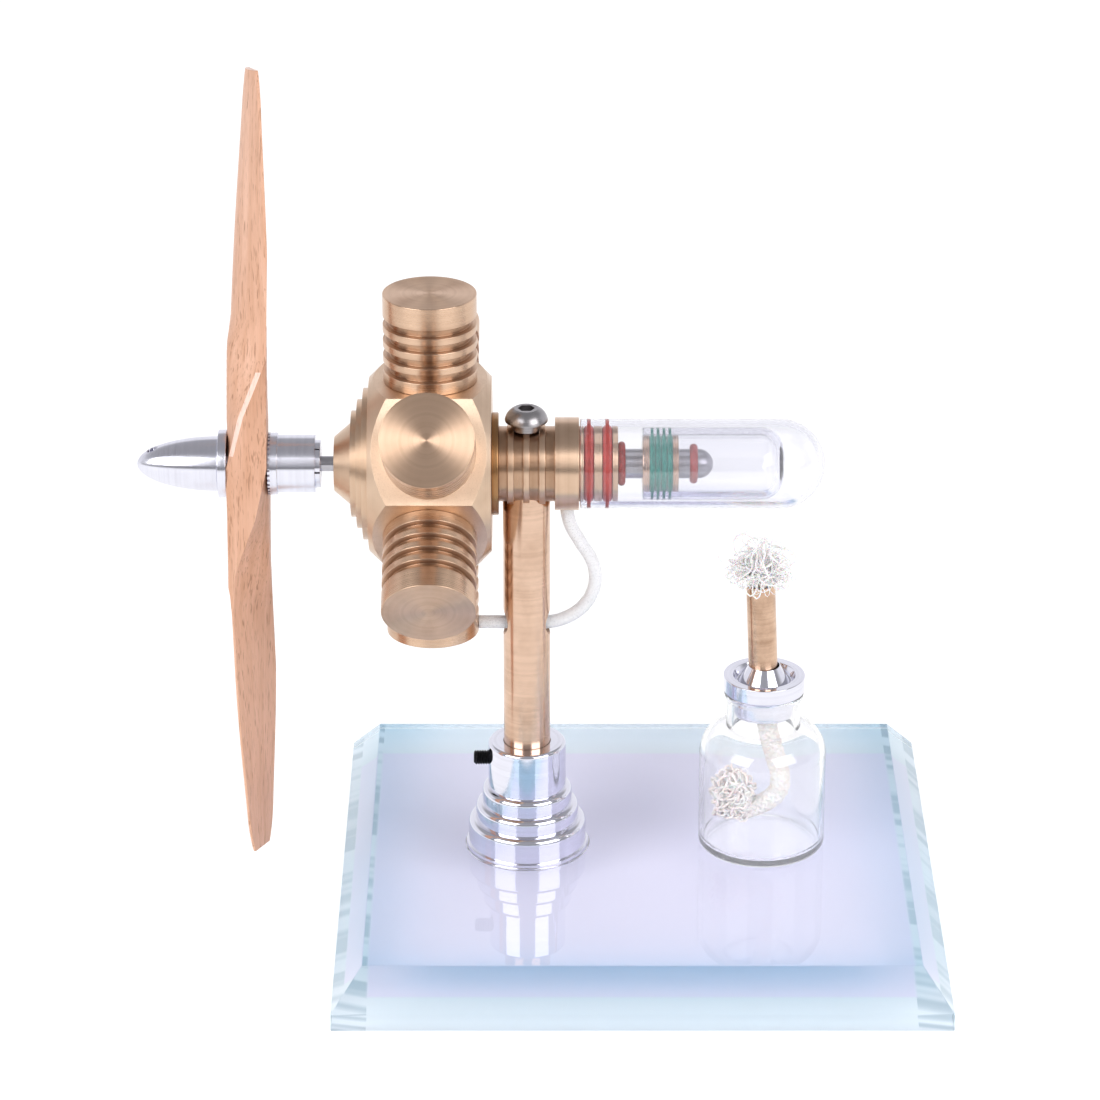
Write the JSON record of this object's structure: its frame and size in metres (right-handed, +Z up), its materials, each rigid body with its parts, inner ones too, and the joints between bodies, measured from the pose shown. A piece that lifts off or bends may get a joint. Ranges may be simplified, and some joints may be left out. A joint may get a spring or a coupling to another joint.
{
  "type": "free-displacer hot-air engine with propeller",
  "caption": "Hot-air engine styled as a radial aero engine, with propeller, glass hot cap and spirit burner, on a bevelled glass base.",
  "frame": {"origin": "underside of the glass plate, on the axis of the brass column", "axes": "+Z up along the column, +X from the propeller towards the glass hot cap"},
  "size_m": [0.157, 0.116, 0.1686],
  "materials": {
    "plate_glass": "clear, faintly blue-green at the edges, polished",
    "cap_glass": "clear laboratory glass",
    "displacer_glass": "clear laboratory glass",
    "bottle_glass": "clear bottle glass",
    "adhesive": "clear cured adhesive",
    "polished_aluminium": "turned and polished",
    "adapter_aluminium": "bright turned",
    "stopper_aluminium": "bright turned",
    "black_steel": "black oxide",
    "mast_brass": "drawn, brushed along its length",
    "neck_brass": "turned",
    "bush_brass": "turned",
    "case_brass": "turned, with milled flats",
    "cylinder_brass": "turned fins, faced ends",
    "disc_brass": "turned, darker",
    "tube_brass": "drawn tube",
    "shaft_steel": "ground",
    "rod_aluminium": "milled",
    "graphite": "fine graphite",
    "screw_steel": "stainless, satin",
    "guide_steel": "drawn",
    "red_rubber": "silicone rubber, satin",
    "dark_red_rubber": "silicone rubber, satin",
    "green_rubber": "fluoro rubber, satin",
    "silicone": "translucent white silicone",
    "beech": "fine sanded, thin clear coat",
    "cotton": "braided cotton"
  },
  "bodies": {
    "base": {"base_plate": "plate_glass", "pedestal": "polished_aluminium", "glue_ring": "adhesive", "set_screw": "black_steel"},
    "engine": {"column": "mast_brass", "neck": "neck_brass", "neck_screw": "screw_steel", "back_disc": "disc_brass", "crankcase": "case_brass", "cylinder_1": "cylinder_brass", "cylinder_2": "cylinder_brass", "cylinder_3": "cylinder_brass", "cylinder_4": "cylinder_brass", "cylinder_5": "cylinder_brass", "power_cylinder": "cylinder_brass", "hot_cap": "cap_glass", "seal_o_rings": "red_rubber", "guide_tube": "guide_steel", "bumper_inner": "dark_red_rubber", "bumper_outer": "dark_red_rubber", "cap_nipple": "tube_brass", "cylinder_nipple": "tube_brass", "gas_tube": "silicone", "bearing_outer_races": "shaft_steel", "bearing_balls": "shaft_steel"},
    "rotor": {"bearing_inner_races": "shaft_steel", "crankshaft": "shaft_steel", "crank_disc": "shaft_steel", "crank_pin": "shaft_steel", "prop_adapter": "adapter_aluminium", "collet_sleeve": "adapter_aluminium", "propeller": "beech", "prop_washer": "adapter_aluminium", "spinner_nut": "adapter_aluminium"},
    "rod": {"connecting_rod": "rod_aluminium", "wrist_pin": "shaft_steel"},
    "piston": {"piston": "graphite"},
    "displacer": {"displacer_glass": "displacer_glass", "displacer_plug": "bush_brass", "displacer_o_rings": "green_rubber"},
    "burner": {"burner_bottle": "bottle_glass"},
    "wick_holder": {"stopper": "stopper_aluminium", "wick_tube": "tube_brass", "wick": "cotton", "wick_tuft": "cotton", "wick_bunch": "cotton"}
  },
  "joints": [
    {"name": "column_swivel", "type": "hinge", "parent": "base", "child": "engine", "pos_m": [0, 0, 0.03], "axis": [0, 0, 1], "range_deg": [-30, 30]},
    {"name": "crank_spin", "type": "hinge", "parent": "engine", "child": "rotor", "pos_m": [-0.0184, 0, 0.0935], "axis": [1, 0, 0], "continuous": true},
    {"name": "rod_swing", "type": "hinge", "parent": "rotor", "child": "rod", "pos_m": [-0.0184, 0, 0.091], "axis": [1, 0, 0], "continuous": true},
    {"name": "piston_slide", "type": "slide", "parent": "engine", "child": "piston", "axis": [0, 0, 1], "range_m": [0, 0.005]},
    {"name": "displacer_slide", "type": "slide", "parent": "engine", "child": "displacer", "axis": [1, 0, 0], "range_m": [-0.003, 0.0019]},
    {"name": "burner_slide", "type": "slide", "parent": "base", "child": "burner", "axis": [0, 1, 0], "range_m": [-0.03, 0.03]},
    {"name": "stopper_lift", "type": "slide", "parent": "burner", "child": "wick_holder", "axis": [0, 0, 1], "range_m": [0, 0.006]}
  ],
  "couplings": [
    {"joint": "rod_swing", "follows": "crank_spin", "ratio": -1}
  ]
}
